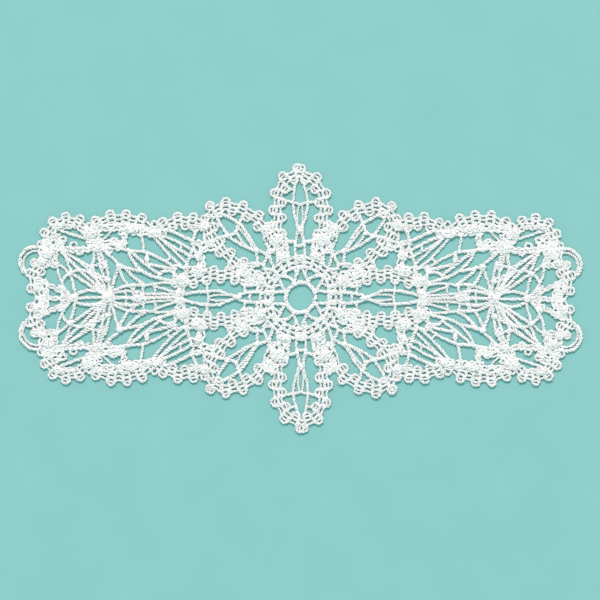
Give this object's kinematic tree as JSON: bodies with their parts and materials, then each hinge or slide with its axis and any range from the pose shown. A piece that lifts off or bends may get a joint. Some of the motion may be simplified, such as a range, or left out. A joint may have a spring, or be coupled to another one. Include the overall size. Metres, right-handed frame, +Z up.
{
  "type": "battenberg lace jar cover",
  "caption": "Flat openwork lace cover for a jar: a braided medallion with petals between two netted end panels, edged with scallops and corner loops.",
  "frame": {"origin": "middle of the lace's box, on its underside", "axes": "+X along the lace's length, +Y across it towards its upper petal, +Z up from the surface it lies on"},
  "size_m": [0.1784, 0.0854, 0.0017],
  "materials": {
    "white_thread": "matte bright white stitched thread"
  },
  "bodies": {
    "root": {"lace": "white_thread"}
  },
  "joints": []
}
